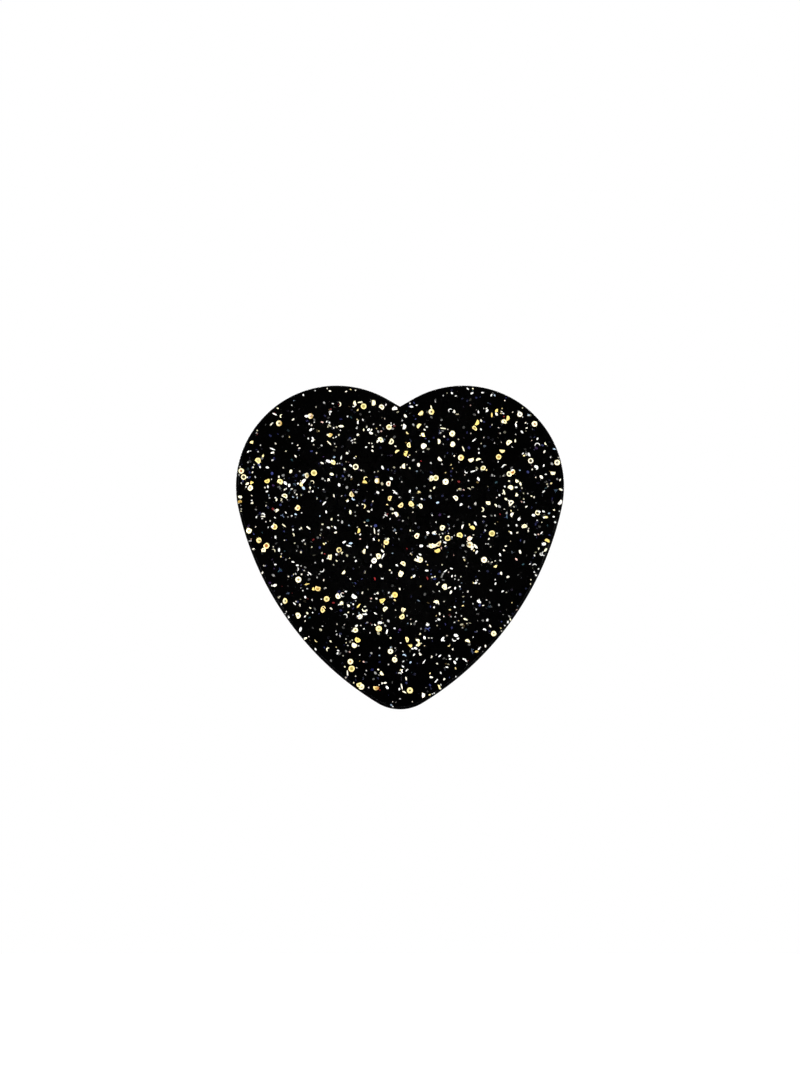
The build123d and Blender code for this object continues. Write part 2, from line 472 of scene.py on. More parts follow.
def black_nickel_material():
    """Dark bright plating over a cast plate: blasted and faintly mottled."""
    n = Nodes(bpy.data.materials.new("black_nickel"))
    cloud = n.noise(0.12, 3)
    grain = n.noise(11.0, 2)
    pits = n.add("TexVoronoi", {"Vector": n.place(), "Scale": 6.5 / MM}).outputs["Distance"]
    colour = n.mix_colour(cloud, srgb(41, 41, 44), srgb(50, 50, 52))
    rough = n.math("ADD", n.spread(cloud, 0.27, 0.33), n.spread(grain, -0.03, 0.04))
    normal = n.bump(grain, 0.35, 0.008)
    normal = n.bump(n.ramp(pits, 0.0, 1.0, 0.05, 0.5), 0.25, 0.014, normal)
    return n.principled(colour, rough, Metallic=1.0, Normal=normal)


def black_enamel_material():
    """Deep black poured enamel with a faint orange-peel surface."""
    n = Nodes(bpy.data.materials.new("black_enamel"))
    peel = n.noise(1.6, 3)
    speck = n.noise(14.0, 1)
    colour = n.mix_colour(n.ramp(speck, 0, 1, 0.62, 0.8), srgb(1, 1, 1), srgb(4, 4, 6))
    normal = n.bump(peel, 0.2, 0.02)
    rough = n.spread(peel, 0.2, 0.34)
    return n.principled(colour, rough, Specular_IOR_Level=0.06, Normal=normal)


def flake_material():
    """Lacquered foil: the flake's own colour, slightly streaked and flecked, with crease bumps
    whose hollows get painted shade.
    """
    n = Nodes(bpy.data.materials.new("glitter_flake"))
    tint = n.add("Attribute", attribute_name="tint").outputs["Color"]
    crease = n.noise(5.0, 2)
    fleck = n.noise(22.0, 1)
    # painted shade: the colour darkens where the crease noise is low, which is where the crease
    # bump is low
    crease_painted_shade = n.ramp(crease, 0.86, 1.0, 0.3, 0.6)
    flecked = n.ramp(fleck, 0.93, 1.0, 0.3, 0.6)
    # painted crease shade times random darker flecks, which are the foil's own tone
    crease_shade_and_flecks = n.math("MULTIPLY", crease_painted_shade, flecked)
    colour = n.add("VectorMath", {0: tint, "Scale": crease_shade_and_flecks}, operation="SCALE").outputs[0]
    rough = n.spread(crease, 0.25, 0.4)
    return n.principled(colour, rough, Metallic=0.25, Normal=n.bump(crease, 0.3, 0.01))


def clear_epoxy_material():
    """Clear resin: light passes straight through, and only its outer face reflects.

    Its steep edge has painted shade: its reflection and what shows through it are both darkened
    there, standing in for the black plate that a real edge bends into view.
    """
    n = Nodes(bpy.data.materials.new("clear_epoxy"))
    ripple = n.noise(0.25, 2)
    normal = n.bump(ripple, 0.25, 0.02)
    facing = n.add("SeparateXYZ", {"Vector": n.add("TexCoord").outputs["Normal"]}).outputs["Y"]
    steep = n.ramp(n.math("ABSOLUTE", facing), 1.0, 0.0, 0.5, 0.97)
    # painted shade: the reflection's colour is dimmed to grey where the lens edge is steep
    shine_with_painted_edge_shade = n.mix_colour(steep, (1, 1, 1, 1), srgb(112, 112, 114))
    rough = n.spread(n.noise(2.5, 3), 0.02, 0.05)
    glossy = n.add("BsdfGlossy", {"Color": shine_with_painted_edge_shade, "Roughness": rough, "Normal": normal})
    # painted shade: the see-through colour turns dark grey at the steep edge, for the black plate a
    # refracting edge would show
    tint = n.mix_colour(steep, srgb(253, 253, 252), srgb(60, 60, 62))
    clear = n.add("BsdfTransparent", {"Color": tint})
    fresnel = n.add("Fresnel", {"IOR": 1.5, "Normal": normal}).outputs[0]
    back = n.add("NewGeometry").outputs["Backfacing"]
    share = n.math("MULTIPLY", fresnel, n.math("SUBTRACT", 1.0, back))
    return n.surface(n.mix_shaders(share, clear, glossy))


def turned_steel_material():
    """Nickel-plated post wire with fine marks round it."""
    n = Nodes(bpy.data.materials.new("post_steel"))
    rings = n.noise(2.0, 4, vector=n.stretch(0.15, 6, 0.15))
    cloud = n.noise(0.8, 3)
    colour = n.mix_colour(cloud, srgb(196, 193, 186), srgb(222, 220, 214))
    rough = n.spread(cloud, 0.18, 0.3)
    return n.principled(colour, rough, Metallic=1.0, Normal=n.bump(rings, 0.3, 0.01))


def solder_material():
    """Dull, slightly lumpy tin solder."""
    n = Nodes(bpy.data.materials.new("solder"))
    lump = n.noise(1.8, 4)
    grain = n.noise(9.0, 3)
    colour = n.mix_colour(lump, srgb(150, 150, 148), srgb(192, 191, 187))
    normal = n.bump(grain, 0.3, 0.01, n.bump(lump, 0.8, 0.08))
    return n.principled(colour, n.spread(grain, 0.34, 0.5), Metallic=1.0, Normal=normal)


def brass_material():
    """Bright stamped brass: drawing marks, a faint haze and rubbed edges."""
    n = Nodes(bpy.data.materials.new("clutch_brass"))
    drawn = n.noise(1.5, 5, vector=n.stretch(7, 0.6, 0.6))
    haze = n.noise(0.4, 4)
    spots = n.noise(3.0, 2)
    colour = n.mix_colour(haze, srgb(229, 207, 156), srgb(241, 222, 176))
    colour = n.mix_colour(n.ramp(spots, 0, 0.5, 0.62, 0.78), colour, srgb(206, 176, 122))
    edge = n.add("Bevel", {"Radius": 0.08 * MM}, samples=4).outputs["Normal"]
    own = n.add("NewGeometry").outputs["Normal"]
    turn = n.add("VectorMath", {0: edge, 1: own}, operation="DOT_PRODUCT")
    worn = n.ramp(turn.outputs["Value"], 1.0, 0.0, 0.75, 0.98)
    colour = n.mix_colour(n.math("MULTIPLY", worn, 0.5), colour, srgb(250, 238, 204))
    rough = n.spread(haze, 0.16, 0.3)
    return n.principled(colour, rough, Metallic=1.0, Normal=n.bump(drawn, 0.25, 0.012))


def spring_material():
    """Drawn spring wire."""
    n = Nodes(bpy.data.materials.new("spring_steel"))
    drawn = n.noise(3.0, 3)
    colour = n.mix_colour(drawn, srgb(150, 152, 156), srgb(190, 191, 194))
    rough = n.spread(drawn, 0.2, 0.32)
    return n.principled(colour, rough, Metallic=1.0, Normal=n.bump(drawn, 0.25, 0.008))


def floor_material():
    """Pale matt floor, clear from below so that it never hides the pin."""
    n = Nodes(bpy.data.materials.new("pale_floor"))
    tooth = n.noise(0.12, 4)
    colour = n.mix_colour(tooth, srgb(236, 235, 233), srgb(243, 242, 240))
    matt = n.add("BsdfPrincipled", {"Base Color": colour, "Roughness": 0.8})
    below = n.add("NewGeometry").outputs["Backfacing"]
    return n.surface(n.mix_shaders(below, matt, n.add("BsdfTransparent")))


# ------------------------------------------------------------------ plate and posts

def make_plate(material):
    """The cast plate: a rounded back edge, a tray in its face and a well for each post."""
    section = []
    for step in range(BACK_STEPS + 1):
        angle = math.radians(90 * step / BACK_STEPS)
        section.append((BACK_RADIUS * (1 - math.sin(angle)), BACK_RADIUS * (1 - math.cos(angle))))
    section += [
        (0, PLATE_FRONT - EDGE_BREAK),
        (EDGE_BREAK, PLATE_FRONT),
        (RIM_WIDTH - EDGE_BREAK, PLATE_FRONT),
        (RIM_WIDTH, PLATE_FRONT - EDGE_BREAK),
        (RIM_WIDTH, TRAY_FRONT),
    ]
    count = len(EDGE)
    vertices = []
    for inset, depth in section:
        for (x, z), (nx, nz) in zip(EDGE, INWARD):
            vertices.append((x + inset * nx, -depth, z + inset * nz))
    faces = ring_faces(len(section), count)
    vertices.append((0, -TRAY_FRONT, 0))
    faces += fan_faces((len(section) - 1) * count, count, len(vertices) - 1)
    openings = [list(range(count))]
    well = ((EDGE_BREAK, 0), (0, EDGE_BREAK), (0, WELL_DEPTH))
    for side in CLUTCH_SIDES:
        node = side + "_solder_ring"
        middle = middle_of(node)
        radius = half_size(node, "x")
        start = len(vertices)
        openings.append(list(range(start, start + WELL_AROUND)))
        for grow, depth in well:
            vertices += circle(middle, radius + grow, -depth, WELL_AROUND)
        faces += ring_faces(len(well), WELL_AROUND, start)
        vertices.append((middle[0], -WELL_DEPTH, middle[1]))
        floor = start + (len(well) - 1) * WELL_AROUND
        faces += fan_faces(floor, WELL_AROUND, len(vertices) - 1)
    smooth_faces = len(faces)
    loops = [[Vector((vertices[i][0], vertices[i][2], 0)) for i in loop] for loop in openings]
    order = [i for loop in openings for i in loop]
    faces += [tuple(order[i] for i in triangle) for triangle in tessellate_polygon(loops)]
    plate = make_object("cast_plate", vertices, faces, material)
    flat = set(range(smooth_faces, len(faces)))
    flat |= set(range((len(section) - 1) * count, len(section) * count))
    for polygon in plate.data.polygons:
        polygon.use_smooth = polygon.index not in flat
    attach(plate, "pin")
    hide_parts("base_plate")


def make_post(side, material):
    """A nail: a broad head in the well, two grip grooves and a sharp end."""
    node = side + "_post"
    axis = middle_of(node)
    head = half_size(node, "z")
    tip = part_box(node)[1].y / MM
    profile = [(0, -WELL_DEPTH), (head, -WELL_DEPTH), (head, HEAD_PROUD), (SHAFT, HEAD_PROUD)]
    bends = [HEAD_EDGE, HEAD_EDGE, HEAD_FILLET]
    for start in GROOVE_STARTS:
        floor = SHAFT - GROOVE_DEPTH
        stop = start + GROOVE_WIDTH
        profile += [(SHAFT, start), (floor, start + GROOVE_DEPTH)]
        profile += [(floor, stop - GROOVE_DEPTH), (SHAFT, stop)]
        bends += [GROOVE_EDGE] * 4
    profile += [(SHAFT, tip - POINT_LENGTH), (POINT_RADIUS, tip - POINT_FLAT), (0, tip)]
    bends += [POINT_BEND, GROOVE_EDGE]
    outline, _ = filleted_path(profile, bends, POST_SPACING)
    off_axis = [(radius, depth) for radius, depth in outline if radius > SMALL]
    vertices = [v for radius, depth in off_axis for v in circle(axis, radius, depth, POST_AROUND)]
    faces = ring_faces(len(off_axis), POST_AROUND)
    for end in (0, len(off_axis) - 1):
        vertices.append((axis[0], off_axis[end][1], axis[1]))
        faces += fan_faces(end * POST_AROUND, POST_AROUND, len(vertices) - 1)
    post = make_object("turned_" + node, vertices, faces, material)
    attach(post, "pin")
    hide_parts(node)


def make_solder(side, material):
    """The solder between a post's head and its well: a sunken, slightly lumpy ring."""
    node = side + "_solder_ring"
    axis = middle_of(node)
    outer = half_size(node, "x")
    inner = half_size(side + "_post", "z")
    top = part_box(node)[1].y / MM
    loop = [(inner, -WELL_DEPTH), (outer, -WELL_DEPTH)]
    for step in range(SOLDER_STEPS + 1):
        share = step / SOLDER_STEPS
        sag = SOLDER_SAG * math.sin(math.pi * share)
        rise = (top + SOLDER_EDGE) * share
        loop.append((outer + (inner - outer) * share, rise - SOLDER_EDGE - sag))
    vertices, faces = turned_ring(loop, axis, SOLDER_AROUND)
    lumpy = []
    for x, y, z in vertices:
        turn = math.atan2(z - axis[1], x - axis[0])
        lump = math.sin(5 * turn + axis[0]) + math.sin(11 * turn) + math.sin(17 * turn + 2)
        share = (math.hypot(x - axis[0], z - axis[1]) - inner) / (outer - inner)
        free = y > -WELL_DEPTH + SMALL and 0.05 < share < 0.95
        lumpy.append((x, y + (SOLDER_LUMP * lump if free else 0), z))
    ring = make_object(side + "_solder_fillet", lumpy, faces, material)
    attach(ring, "pin")
    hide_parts(node)


# ------------------------------------------------------------------ epoxy dome

def dome_rings():
    """Rings of the dome's outer face, from its back edge to near its middle: x, y, z in mm."""
    wall = [(0.0, PLATE_FRONT), (0.0, PLATE_FRONT + DOME_WALL)]
    for step in range(1, DOME_CORNER_STEPS + 1):
        angle = math.radians(90 * step / DOME_CORNER_STEPS)
        inset = DOME_CORNER * (1 - math.cos(angle))
        wall.append((inset, PLATE_FRONT + DOME_WALL + DOME_CORNER * math.sin(angle)))
    rings = []
    for inset, out in wall:
        flat = EDGE + inset * INWARD
        rings.append(np.column_stack([flat[:, 0], np.full(len(flat), -out), flat[:, 1]]))
    insets = np.concatenate([np.linspace(*DOME_EDGE_INSETS), np.linspace(*DOME_INNER_INSETS)])
    plans = [EDGE + inset * INWARD for inset in insets]
    last = plans[-1]
    plans += [last * share for share in np.linspace(*DOME_MIDDLE_SHARES)]
    plans = np.array(plans)
    gaps = depth_inside(plans.reshape(-1, 2)).reshape(plans.shape[:2])
    heights = DOME_RISE * (1 - np.exp(-np.maximum(gaps - DOME_CORNER, 0) / DOME_FALL_LENGTH))
    free = len(insets) // 3  # the rings before this one keep their heights
    for _ in range(DOME_SMOOTHING_STEPS):
        around = np.roll(heights, 1, axis=1) + np.roll(heights, -1, axis=1)
        inner = np.vstack([heights[1:], heights[-1:].mean() * np.ones((1, heights.shape[1]))])
        outer = np.vstack([heights[:1], heights[:-1]])
        smooth = (around + inner + outer) / 4
        heights[free:] += 0.5 * (smooth[free:] - heights[free:])
    base = PLATE_FRONT + DOME_WALL + DOME_CORNER
    for plan, height in zip(plans, heights):
        rings.append(np.column_stack([plan[:, 0], -(base + height), plan[:, 1]]))
    return rings


def make_dome(material):
    """The epoxy as one closed lens that wets the rim to its edge."""
    count = len(EDGE)
    rings = dome_rings()
    vertices = [tuple(p) for ring in rings for p in ring]
    top_hub = len(vertices)
    vertices.append((0.0, float(rings[-1][:, 1].mean()), 0.0))
    back_hub = len(vertices)
    vertices.append((0.0, -PLATE_FRONT, 0.0))
    faces = ring_faces(len(rings), count)
    faces += fan_faces((len(rings) - 1) * count, count, top_hub)
    faces += fan_faces(0, count, back_hub)
    dome = make_object("epoxy_lens", vertices, faces, material)
    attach(dome, "pin")
    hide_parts("epoxy_dome")


# ------------------------------------------------------------------ glitter

def mixed(a, b, share):
    return tuple(p + (q - p) * share for p, q in zip(a, b))


def dimmed(colour, share):
    return (colour[0] * share, colour[1] * share, colour[2] * share, 1.0)


def pick(rng, table):
    """One entry of [(weight, value), ...]."""
    mark = rng.uniform(0, sum(weight for weight, _ in table))
    for weight, value in table:
        mark -= weight
        if mark <= 0:
            return value
    return table[-1][1]


class FlakeBatch:
    """Collects many small closed plates into one mesh with a colour on each vertex."""

    def __init__(self):
        self.vertices = []
        self.faces = []
        self.tints = []

    def place(self, points, centre, out, tilt, turn):
        """Flat points (a, b, rise) tilted about the flake's centre."""
        turned = Matrix.Rotation(tilt, 3, Vector((math.cos(turn), 0, math.sin(turn))))
        for a, b, rise in points:
            x, y, z = turned @ Vector((a, -rise, b))
            self.vertices.append((centre[0] + x, -out + y, centre[1] + z))

    def plate(self, shape, centre, out, tilt, turn, rings):
        """A plate: shape is its outline about (0, 0).

        rings lists (size, colour) from the edge, at size 1, to the middle, at size 0. A colour
        may also be a pair, which then runs from one side of the flake to the other.
        """
        n = len(shape)
        first = len(self.vertices)
        half = FLAKE_THICKNESS / 2
        widest = max(math.hypot(a, b) for a, b in shape)
        points, tints = [], []
        for size, colour in rings:
            for a, b in shape if size else [(0, 0)]:
                points.append((a * size, b * size, half))
                if isinstance(colour[0], tuple):
                    share = 0.5 + 0.5 * a * size / widest
                    tints.append(mixed(colour[0], colour[1], smooth_step(share)))
                else:
                    tints.append(colour)
        levels = len(rings) - 1
        back = first + len(points)
        for a, b in shape + [(0, 0)]:
            points.append((a, b, -half))
        tints += tints[:n] + [tints[0]]
        self.place(points, centre, out, tilt, turn)
        self.tints += tints
        for level in range(levels - 1):
            low = first + level * n
            for i in range(n):
                j = (i + 1) % n
                self.faces.append((low + i, low + j, low + n + j, low + n + i))
        self.faces += fan_faces(first + (levels - 1) * n, n, first + levels * n)
        self.faces += fan_faces(back, n, back + n)
        for i in range(n):
            j = (i + 1) % n
            self.faces.append((first + j, first + i, back + i, back + j))

    def curl(self, radius, width, sweep, centre, out, tilt, turn, tint):
        """A curved sliver: a strip bent round part of a circle, thinner towards its ends."""
        steps = max(4, round(sweep / CURL_STEP))
        half = FLAKE_THICKNESS / 2
        first = len(self.vertices)
        cosine, sine = math.cos(turn * 1.7), math.sin(turn * 1.7)
        points = []
        for i in range(steps + 1):
            angle = -sweep / 2 + sweep * i / steps
            taper = 1 - 0.75 * abs(2 * i / steps - 1) ** 2.5
            for side in (-0.5, 0.5):
                r = radius + side * width * taper
                a, b = r * math.cos(angle) - radius, r * math.sin(angle)
                for rise in (half, -half):
                    points.append((a * cosine - b * sine, a * sine + b * cosine, rise))
        self.place(points, centre, out, tilt, turn)
        self.tints += [tint] * len(points)
        for i in range(steps):
            a = first + 4 * i
            b = a + 4
            self.faces.append((a, a + 2, b + 2, b))
            self.faces.append((a + 1, b + 1, b + 3, a + 3))
            self.faces.append((a, b, b + 1, a + 1))
            self.faces.append((a + 2, a + 3, b + 3, b + 2))
        last = first + 4 * steps
        self.faces.append((first, first + 1, first + 3, first + 2))
        self.faces.append((last, last + 2, last + 3, last + 1))


def round_shape(rng, radius, corners, ragged):
    """An outline close to a circle, with uneven corners."""
    start = rng.uniform(0, 2 * math.pi)
    shape = []
    for i in range(corners):
        angle = start + 2 * math.pi * i / corners
        r = radius * (1 + rng.uniform(-ragged, ragged * 0.6))
        shape.append((r * math.cos(angle), r * math.sin(angle)))
    return shape


def cut_shape(rng, shape, nearest, furthest):
    """The outline without what lies past a line at a distance from (0, 0), put back on (0, 0)."""
    angle = rng.uniform(0, 2 * math.pi)
    nx, ny = math.cos(angle), math.sin(angle)
    line = rng.uniform(nearest, furthest)
    kept = []
    for (ax, ay), (bx, by) in zip(shape, shape[1:] + shape[:1]):
        a, b = ax * nx + ay * ny - line, bx * nx + by * ny - line
        if a <= 0:
            kept.append((ax, ay))
        if (a < 0) != (b < 0):
            share = a / (a - b)
            kept.append((ax + (bx - ax) * share, ay + (by - ay) * share))
    middle_x = sum(x for x, _ in kept) / len(kept)
    middle_y = sum(y for _, y in kept) / len(kept)
    return [(x - middle_x, y - middle_y) for x, y in kept]


def oval_shape(rng, long, wide):
    """A small oval or blunt sliver, turned any way."""
    angle = rng.uniform(0, math.pi)
    cosine, sine = math.cos(angle), math.sin(angle)
    corners = rng.choice((6, 7, 8, 9))
    shape = []
    for i in range(corners):
        around = 2 * math.pi * i / corners
        a = long / 2 * math.cos(around) * rng.uniform(0.88, 1.1)
        b = wide / 2 * math.sin(around) * rng.uniform(0.85, 1.1)
        shape.append((a * cosine - b * sine, a * sine + b * cosine))
    return shape


# How many, their length and width in mm, and their brightness.
FINE_SIZES = [
    (34, 0.46, 0.26, 1.0),
    (64, 0.36, 0.2, 0.98),
    (120, 0.28, 0.155, 0.92),
    (200, 0.21, 0.13, 0.82),
    (360, 0.145, 0.11, 0.66),
]

CREAM = srgb(253, 246, 210)
PALE_GOLD = srgb(250, 231, 164)
IVORY = srgb(254, 250, 234)
GOLD = srgb(232, 204, 116)
PEACH = srgb(240, 212, 150)
BEIGE = srgb(142, 132, 66)
AMBER = srgb(158, 126, 56)
RUST = srgb(146, 84, 24)
DARK_CORE = srgb(52, 44, 10)
SILVER = srgb(247, 247, 246)
WARM_SILVER = srgb(249, 243, 226)
ROSE = srgb(222, 184, 174)
RED = srgb(190, 44, 50)
BLUE = srgb(74, 84, 160)
DEEP_BLUE = srgb(30, 32, 96)
VIOLET = srgb(74, 46, 104)
TEAL = srgb(58, 98, 112)
SLATE = srgb(92, 108, 138)
PALE_BLUE = srgb(180, 204, 232)


def scatter(rng, count, margin, spacing=0.0, lenient=0.0, band=99.0, clumps=()):
    """Points spread over the heart, more than margin but less than band inside its outline.

    A point nearer than spacing to another is kept only with the chance lenient. With clumps,
    a quarter of the points lie round those places. All in mm.
    """
    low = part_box("base_plate")[0] / MM
    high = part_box("base_plate")[1] / MM
    spots = []
    while len(spots) < count:
        tries = [(rng.uniform(low.x, high.x), rng.uniform(low.z, high.z)) for _ in range(2 * count)]
        for i in range(0, len(tries) if clumps else 0, 4):
            x, z = rng.choice(clumps)
            tries[i] = (rng.gauss(x, CLUMP_SPREAD), rng.gauss(z, CLUMP_SPREAD))
        depths = depth_inside(np.array(tries))
        for spot, depth in zip(tries, depths):
            if not margin < depth < band:
                continue
            near = spacing and any(math.dist(spot, other) < spacing for other in spots)
            if not near or rng.random() < lenient:
                spots.append(spot)
    return spots[:count]


def lying(rng, reach, spread_deg):
    """How a flake lies: its distance from the plate's back, its tilt and the tilt's axis."""
    steepest = math.radians(STEEPEST_FLAKE_DEGREES)
    tilt = min(abs(rng.gauss(0, math.radians(spread_deg))), steepest)
    out = PLATE_FRONT + FLAKE_LIFT + reach * math.sin(tilt) * rng.uniform(0.3, 0.6)
    return out, tilt, rng.uniform(0, 2 * math.pi)


def add_large_flakes(rng, batch):
    """Pale gold hexes of one size, worn round, many of them chipped."""
    reach = HEX_FLAKE_RADIUS + 0.03
    spots = scatter(rng, HEX_FLAKES, reach, spacing=0.62, lenient=0.12)
    spots += scatter(rng, HEX_FLAKES_AT_EDGE, reach, band=0.5)
    for spot in spots:
        radius = HEX_FLAKE_RADIUS * rng.uniform(0.86, 1.02)
        shape = round_shape(rng, radius, 15, 0.05)
        chips = pick(rng, [(0.44, 0), (0.36, 1), (0.2, 2)])
        for _ in range(chips):
            shape = cut_shape(rng, shape, 0.3 * radius, 0.75 * radius)
        tint = pick(rng, [(6, CREAM), (3.4, PALE_GOLD), (2, IVORY), (0.6, GOLD), (0.8, PEACH)])
        tint = dimmed(tint, rng.uniform(0.82, 1.0))
        core = pick(rng, [(5, BEIGE), (2, AMBER), (2.6, DARK_CORE), (0.5, RUST), (0.6, tint)])
        edge = mixed(tint, GOLD, rng.uniform(0.25, 0.6))
        inner = pick(rng, [(6, 0.25), (3, 0.36), (1.8, 0.52)])
        rings = [(1, edge), (0.74, tint), (inner + 0.2, mixed(tint, core, 0.3))]
        rings += [(inner, core), (0, core)]
        if rng.random() < 0.14:
            other = pick(rng, [(2, AMBER), (1, RUST), (2, GOLD)])
            rings = [(1, (edge, other)), (0.6, (tint, other)), (inner, core), (0, core)]
        batch.plate(shape, spot, *lying(rng, radius, 8), rings)


def add_fragments(rng, batch):
    """Broken pieces of the large flakes, rods, curls and small groups of bluish curls."""
    spots = scatter(rng, BROKEN_FLAKES, 0.24)
    spots += scatter(rng, BROKEN_FLAKES_AT_EDGE, 0.22, band=0.4)
    table = [(4, CREAM), (3.6, PALE_GOLD), (1.8, GOLD), (1.8, SILVER), (0.7, AMBER), (0.2, RUST)]
    table.append((0.4, ROSE))
    for spot in spots:
        radius = HEX_FLAKE_RADIUS * rng.uniform(0.75, 1.0)
        shape = round_shape(rng, radius, 12, 0.12)
        for _ in range(rng.choice((1, 2))):
            shape = cut_shape(rng, shape, 0.0, 0.35 * radius)
        tint = dimmed(pick(rng, table), rng.uniform(0.8, 1.0))
        edge = mixed(tint, GOLD, rng.uniform(0.1, 0.5))
        batch.plate(shape, spot, *lying(rng, radius, 9), [(1, edge), (0.5, tint), (0, tint)])
    for spot in scatter(rng, RODS, 0.3):
        shape = oval_shape(rng, rng.uniform(0.38, 0.62), rng.uniform(0.09, 0.15))
        tint = pick(rng, [(5, SILVER), (3, WARM_SILVER), (1.5, CREAM), (0.8, GOLD)])
        tint = dimmed(tint, rng.uniform(0.7, 1.0))
        batch.plate(shape, spot, *lying(rng, 0.3, 5), [(1, tint), (0, tint)])
    for spot in scatter(rng, CURLS, 0.3):
        tint = pick(rng, [(5, SILVER), (3, CREAM), (2, PALE_GOLD), (0.8, PALE_BLUE), (0.6, AMBER)])
        tint = dimmed(tint, rng.uniform(0.45, 1.0))
        width = rng.uniform(0.07, 0.13)
        sweep = rng.uniform(1.3, 3.8)
        batch.curl(rng.uniform(0.13, 0.24), width, sweep, spot, *lying(rng, 0.2, 5), tint)
    for spot in scatter(rng, CURL_GROUPS, 0.36):
        radius = rng.uniform(0.22, 0.3)
        for _ in range(3):
            tint = dimmed(pick(rng, [(1, BLUE), (2, TEAL), (3, SLATE)]), rng.uniform(0.15, 0.75))
            batch.curl(radius, 0.055, rng.uniform(0.8, 2.4), spot, *lying(rng, 0.2, 3), tint)


def add_fine_flakes(rng, batch, clumps):
    """Fine silver glitter: small ovals, thinning out to bright dust, and a few along the edge."""
    table = [(8, SILVER), (4, WARM_SILVER), (2, CREAM), (0.8, PALE_GOLD), (0.5, PALE_BLUE)]
    table.append((0.4, ROSE))
    for count, long, wide, bright in FINE_SIZES:
        margin = long * 0.55 + 0.02
        spots = scatter(rng, count, margin, clumps=clumps)
        spots += scatter(rng, count // FINE_PER_EDGE_ONE, margin, band=margin + 0.2)
        for spot in spots:
            shape = oval_shape(rng, long * rng.uniform(0.8, 1.15), wide * rng.uniform(0.8, 1.15))
            tint = dimmed(pick(rng, table), bright * rng.uniform(0.7, 1.0))
            batch.plate(shape, spot, *lying(rng, long / 2, 11), [(1, tint), (0, tint)])


def add_sunken_flakes(rng, batch, clumps):
    """Dim flakes, often blue, violet or red, that look as if they lay deep in the black coat."""
    plain = [(7, SILVER), (2, CREAM), (1.2, BLUE), (1.2, DEEP_BLUE), (0.9, RED), (1, AMBER)]
    cold = [(1.6, SILVER), (3.4, BLUE), (3, DEEP_BLUE), (1.6, VIOLET), (1.6, TEAL), (1, PALE_BLUE)]
    for table, places in ((plain, ()), (cold, clumps[::3])):
        for spot in scatter(rng, SUNKEN_FLAKES, 0.23, clumps=places):
            long = rng.uniform(0.1, 0.34)
            shape = oval_shape(rng, long, long * rng.uniform(0.4, 0.85))
            tint = dimmed(pick(rng, table), 0.015 + 0.4 * rng.random() ** 2.4)
            batch.plate(shape, spot, *lying(rng, long / 3, 8), [(1, tint), (0, tint)])


def make_glitter(material):
    """All the flakes, as one piece on top of the black coat."""
    rng = random.Random(SEED)
    batch = FlakeBatch()
    clumps = scatter(rng, CLUMP_COUNT, 0.8)
    add_large_flakes(rng, batch)
    add_fragments(rng, batch)
    add_fine_flakes(rng, batch, clumps)
    add_sunken_flakes(rng, batch, clumps)
    glitter = make_object("glitter_flakes", batch.vertices, batch.faces, material, smooth=False)
    tint = glitter.data.color_attributes.new("tint", "FLOAT_COLOR", "POINT")
    tint.data.foreach_set("color", np.array(batch.tints, np.float32).ravel())
    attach(glitter, "pin")


# ------------------------------------------------------------------ butterfly clutches

def make_cup_bead(side, material):
    """A bead coined round the cup's outer face, which stiffens it."""
    node = side + "_clutch_inner_cup"
    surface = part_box(node)[1].y / MM
    loop = []
    for step in range(BEAD_STEPS):
        angle = math.radians(360 * step / BEAD_STEPS)
        radius = BEAD_RADIUS + BEAD_WIDTH / 2 * math.cos(angle)
        loop.append((radius, surface - BEAD_SUNK + BEAD_HEIGHT * math.sin(angle)))
    vertices, faces = turned_ring(loop, middle_of(node), BEAD_AROUND)
    bead = make_object(side + "_clutch_cup_bead", vertices, faces, material)
    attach(bead, side + "_clutch")


def make_cap(side, material):
    """The outer cap: a funnelled hole, four coined dimples and an edge rolled over the cup."""
    node = side + "_clutch_cap"
    low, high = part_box(node)
    axis = middle_of(node)
    front = low.y / MM + CAP_DIMPLE
    half = SHEET / 2
    wall = half_size(node, "x") - half
    height = (high.y - low.y) / MM - CAP_DIMPLE - half
    corners = [(CAP_HOLE, half + FUNNEL_DEPTH), (FUNNEL_RADIUS, half), (wall, half), (wall, height)]
    corners.append((CAP_LIP + half, height))
    path, normals = filleted_path(corners, (FUNNEL_BEND, SHEET, SHEET), CAP_SPACING)
    loop = [(r, front + d) for r, d in strip_section(path, normals, SHEET)]
    vertices, faces = turned_ring(loop, axis, CAP_AROUND)
    dimples = []
    for turn in (math.radians(angle) for angle in (45, 135, 225, 315)):
        x = axis[0] + DIMPLE_CIRCLE * math.cos(turn)
        dimples.append((x, axis[1] + DIMPLE_CIRCLE * math.sin(turn)))
    coined = []
    for x, y, z in vertices:
        away = min(math.dist((x, z), dimple) for dimple in dimples) / DIMPLE_REACH
        if away < 1 and y < front + 2 * SHEET:
            y -= CAP_DIMPLE * (1 - away * away) ** 2
        coined.append((x, y, z))
    cap = make_object(node + "_rolled", coined, faces, material)
    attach(cap, side + "_clutch")
    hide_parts(node)


def wing_half_width(radius):
    """Half the wing's width at a distance from the post's axis, in mm."""
    flare = smooth_step((radius - NECK - FLARE_START) / FLARE_LENGTH)
    half = HALF_NECK + (HALF_WING - HALF_NECK) * flare
    past = radius - (WING_PATH[-1][0] - WING_CORNER)
    if past > 0:
        half -= WING_CORNER - math.sqrt(max(WING_CORNER**2 - past**2, 0))
    return half


